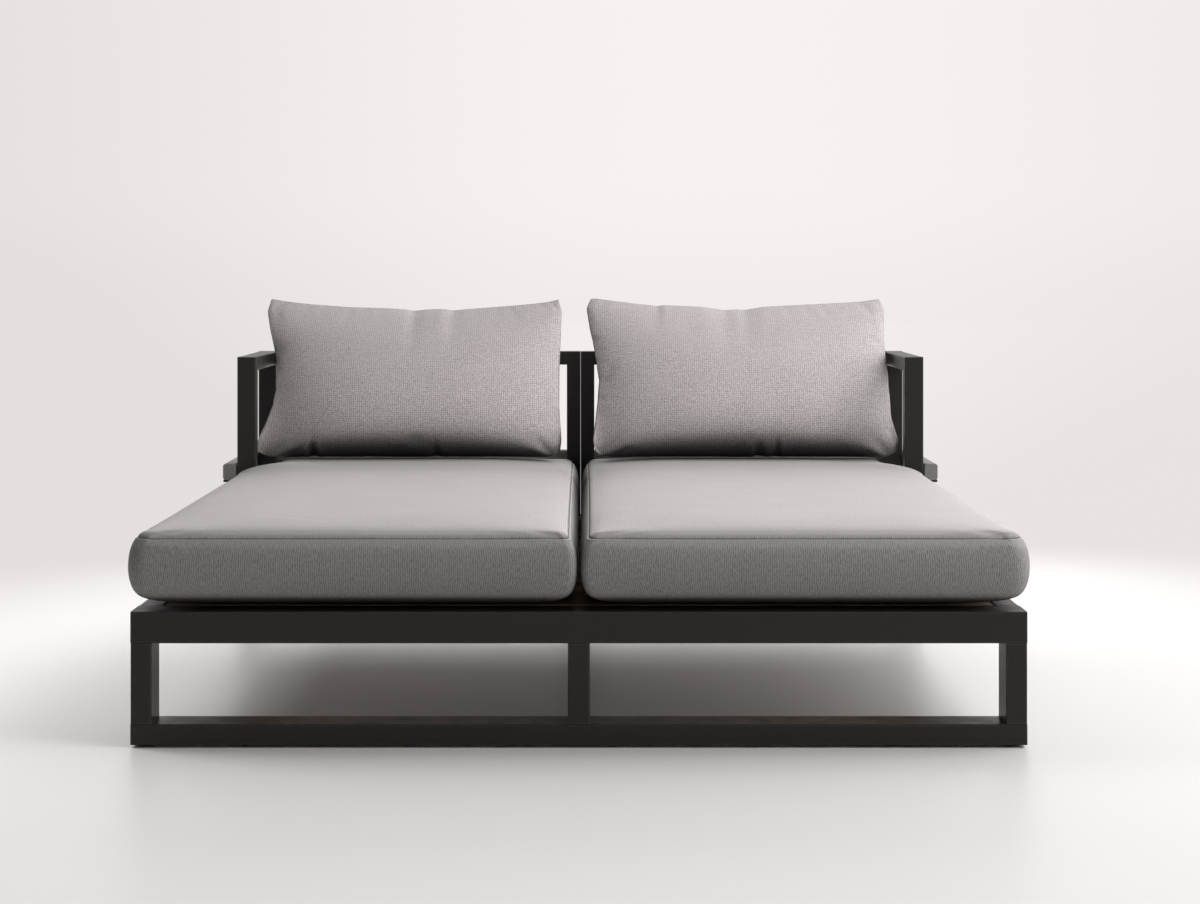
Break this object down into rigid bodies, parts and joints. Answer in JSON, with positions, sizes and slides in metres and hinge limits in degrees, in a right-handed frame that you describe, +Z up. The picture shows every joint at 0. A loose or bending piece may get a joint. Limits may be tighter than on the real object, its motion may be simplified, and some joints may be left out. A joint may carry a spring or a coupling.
{
  "type": "double chaise lounger",
  "caption": "Wide double chaise lounger with a sled-fronted metal base, slim open arm-and-back frames, two long seat cushions and two leaning back pillows.",
  "frame": {"origin": "on the floor, under the middle of the whole lounger: halfway between the left and right outer rails, and halfway between the cushions' foot end and the outer back rail", "axes": "+X to the right as seen from the foot end, +Y from the foot end towards the back, +Z up"},
  "size_m": [1.77, 1.731, 0.8251],
  "materials": {
    "black_frame": "satin",
    "grey_rail": "satin",
    "deck_wood": "matte",
    "seat_fabric": "matte",
    "pillow_fabric": "matte",
    "black_plastic": "matte",
    "zinc_steel": null
  },
  "bodies": {
    "frame": {"arm_front_post_left": "black_frame", "arm_front_post_right": "black_frame", "arm_lower_rail_left": "black_frame", "arm_lower_rail_right": "black_frame", "arm_rear_post_left": "black_frame", "arm_rear_post_right": "black_frame", "arm_top_rail_left": "black_frame", "arm_top_rail_right": "black_frame", "back_top_rail_left": "black_frame", "back_top_rail_right": "black_frame", "bracket_bolts": "zinc_steel", "centre_beam": "black_frame", "corner_bracket_front_left": "black_frame", "corner_bracket_front_right": "black_frame", "corner_bracket_rear_left": "black_frame", "corner_bracket_rear_right": "black_frame", "deck_board_01": "deck_wood", "deck_board_02": "deck_wood", "deck_board_03": "deck_wood", "deck_board_04": "deck_wood", "deck_board_05": "deck_wood", "deck_board_06": "deck_wood", "deck_board_07": "deck_wood", "deck_board_08": "deck_wood", "deck_board_09": "deck_wood", "deck_board_10": "deck_wood", "deck_ledge_left": "black_frame", "deck_ledge_right": "black_frame", "deck_screws": "zinc_steel", "front_bottom_rail": "black_frame", "front_leg_centre": "black_frame", "front_leg_left": "black_frame", "front_leg_right": "black_frame", "front_top_rail": "black_frame", "glide_inserts": "zinc_steel", "hanger_screws": "zinc_steel", "mid_post_left": "black_frame", "mid_post_right": "black_frame", "outer_back_rail_left": "grey_rail", "outer_back_rail_right": "grey_rail", "outer_side_rail_left": "grey_rail", "outer_side_rail_right": "grey_rail", "post_bolts": "zinc_steel", "rail_hangers_left": "black_frame", "rail_hangers_right": "black_frame", "rear_leg_centre": "black_frame", "rear_rail": "black_frame", "side_rail_left": "black_frame", "side_rail_right": "black_frame"},
    "back_pillow_left": {"back_pillow_left": "pillow_fabric"},
    "back_pillow_right": {"back_pillow_right": "pillow_fabric"},
    "glide_arm_left": {"glide_arm_left": "black_plastic"},
    "glide_arm_right": {"glide_arm_right": "black_plastic"},
    "glide_front_left": {"glide_front_left": "black_plastic"},
    "glide_front_right": {"glide_front_right": "black_plastic"},
    "glide_rear_centre": {"glide_rear_centre": "black_plastic"},
    "glide_rear_left": {"glide_rear_left": "black_plastic"},
    "glide_rear_right": {"glide_rear_right": "black_plastic"},
    "seat_cushion_left": {"seat_cushion_left": "seat_fabric"},
    "seat_cushion_right": {"seat_cushion_right": "seat_fabric"}
  },
  "joints": [
    {"name": "seat_cushion_left_lift", "type": "slide", "parent": "frame", "child": "seat_cushion_left", "axis": [0, 0, 1], "range_m": [0, 0.45]},
    {"name": "back_pillow_left_lift", "type": "slide", "parent": "seat_cushion_left", "child": "back_pillow_left", "axis": [0, 0, 1], "range_m": [0, 0.3]},
    {"name": "seat_cushion_right_lift", "type": "slide", "parent": "frame", "child": "seat_cushion_right", "axis": [0, 0, 1], "range_m": [0, 0.45]},
    {"name": "back_pillow_right_lift", "type": "slide", "parent": "seat_cushion_right", "child": "back_pillow_right", "axis": [0, 0, 1], "range_m": [0, 0.3]},
    {"name": "glide_arm_left_height", "type": "slide", "parent": "frame", "child": "glide_arm_left", "axis": [0, 0, 1], "range_m": [-0.01, 0]},
    {"name": "glide_arm_right_height", "type": "slide", "parent": "frame", "child": "glide_arm_right", "axis": [0, 0, 1], "range_m": [-0.01, 0]},
    {"name": "glide_front_left_height", "type": "slide", "parent": "frame", "child": "glide_front_left", "axis": [0, 0, 1], "range_m": [-0.01, 0]},
    {"name": "glide_front_right_height", "type": "slide", "parent": "frame", "child": "glide_front_right", "axis": [0, 0, 1], "range_m": [-0.01, 0]},
    {"name": "glide_rear_centre_height", "type": "slide", "parent": "frame", "child": "glide_rear_centre", "axis": [0, 0, 1], "range_m": [-0.01, 0]},
    {"name": "glide_rear_left_height", "type": "slide", "parent": "frame", "child": "glide_rear_left", "axis": [0, 0, 1], "range_m": [-0.01, 0]},
    {"name": "glide_rear_right_height", "type": "slide", "parent": "frame", "child": "glide_rear_right", "axis": [0, 0, 1], "range_m": [-0.01, 0]}
  ]
}
